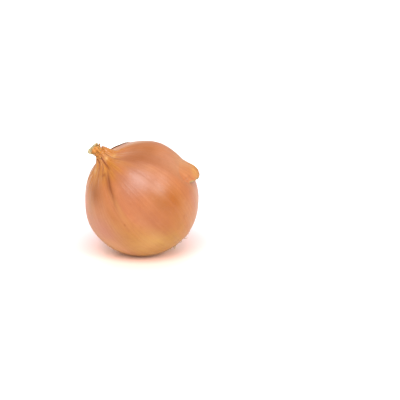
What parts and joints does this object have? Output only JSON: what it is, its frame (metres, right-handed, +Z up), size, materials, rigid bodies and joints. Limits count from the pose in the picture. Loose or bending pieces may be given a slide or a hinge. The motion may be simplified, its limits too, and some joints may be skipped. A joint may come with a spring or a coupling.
{
  "type": "onion",
  "caption": "Whole dry globe onion lying tipped on its flank, with a twisted dry neck, torn outer skin and a tuft of dry roots.",
  "frame": {"origin": "on the surface that the onion rests on, straight below the middle of its belly, inside its resting flat", "axes": "+Z up; seen from the front, +X is right and +Y is away, the neck points left and up (-X, +Z) and a little to the front, and the roots point right, down and a little to the back"},
  "size_m": [0.0744, 0.0747, 0.0763],
  "materials": {
    "bulb_skin": "satin",
    "loose_skin": "satin",
    "dry_root": "matte"
  },
  "bodies": {
    "root": {"bulb": "bulb_skin", "loose_skin_shoulder": "loose_skin", "loose_skin_flank": "loose_skin", "root_tuft": "dry_root"}
  },
  "joints": []
}
